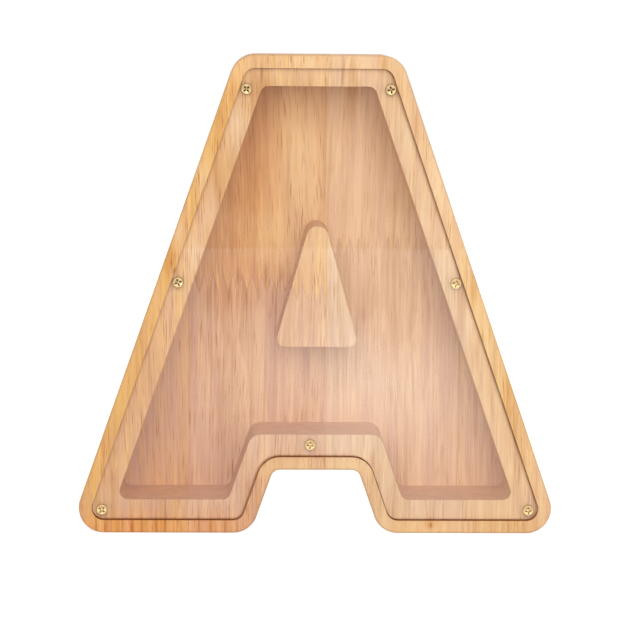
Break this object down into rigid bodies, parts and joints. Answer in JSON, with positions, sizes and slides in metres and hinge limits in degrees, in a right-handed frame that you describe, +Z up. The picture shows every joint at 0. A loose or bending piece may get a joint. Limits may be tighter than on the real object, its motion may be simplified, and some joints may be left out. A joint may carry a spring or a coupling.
{
  "type": "money box",
  "caption": "Letter-shaped wooden money box with a stepped rim, a coin pocket round a raised island, a coin slot in its top and a clear window held by screws.",
  "frame": {"origin": "on the surface that the feet stand on, under the middle of the box's width and depth", "axes": "+Z up the letter, the front with its window faces -Y, +X to the right seen from the front"},
  "size_m": [0.1987, 0.0408, 0.2],
  "materials": {
    "wood": "sanded, clear matt oil",
    "acrylic": "clear, polished",
    "brass": "pale yellow plated"
  },
  "bodies": {
    "body": {"left_outer_stave": "wood", "right_outer_stave": "wood", "left_inner_stave_lower": "wood", "left_inner_stave_upper": "wood", "right_inner_stave_lower": "wood", "right_inner_stave_upper": "wood"},
    "window": {"window": "acrylic"},
    "screw_top_left": {"screw_top_left": "brass"},
    "screw_top_right": {"screw_top_right": "brass"},
    "screw_middle_left": {"screw_middle_left": "brass"},
    "screw_middle_right": {"screw_middle_right": "brass"},
    "screw_foot_left": {"screw_foot_left": "brass"},
    "screw_foot_right": {"screw_foot_right": "brass"},
    "screw_notch": {"screw_notch": "brass"}
  },
  "joints": [
    {"name": "window_lift", "type": "slide", "parent": "body", "child": "window", "axis": [0, -1, 0], "range_m": [0, 0.03]},
    {"name": "screw_top_left_draw", "type": "slide", "parent": "window", "child": "screw_top_left", "axis": [0, -1, 0], "range_m": [0, 0.013]},
    {"name": "screw_top_right_draw", "type": "slide", "parent": "window", "child": "screw_top_right", "axis": [0, -1, 0], "range_m": [0, 0.013]},
    {"name": "screw_middle_left_draw", "type": "slide", "parent": "window", "child": "screw_middle_left", "axis": [0, -1, 0], "range_m": [0, 0.013]},
    {"name": "screw_middle_right_draw", "type": "slide", "parent": "window", "child": "screw_middle_right", "axis": [0, -1, 0], "range_m": [0, 0.013]},
    {"name": "screw_foot_left_draw", "type": "slide", "parent": "window", "child": "screw_foot_left", "axis": [0, -1, 0], "range_m": [0, 0.013]},
    {"name": "screw_foot_right_draw", "type": "slide", "parent": "window", "child": "screw_foot_right", "axis": [0, -1, 0], "range_m": [0, 0.013]},
    {"name": "screw_notch_draw", "type": "slide", "parent": "window", "child": "screw_notch", "axis": [0, -1, 0], "range_m": [0, 0.013]}
  ]
}
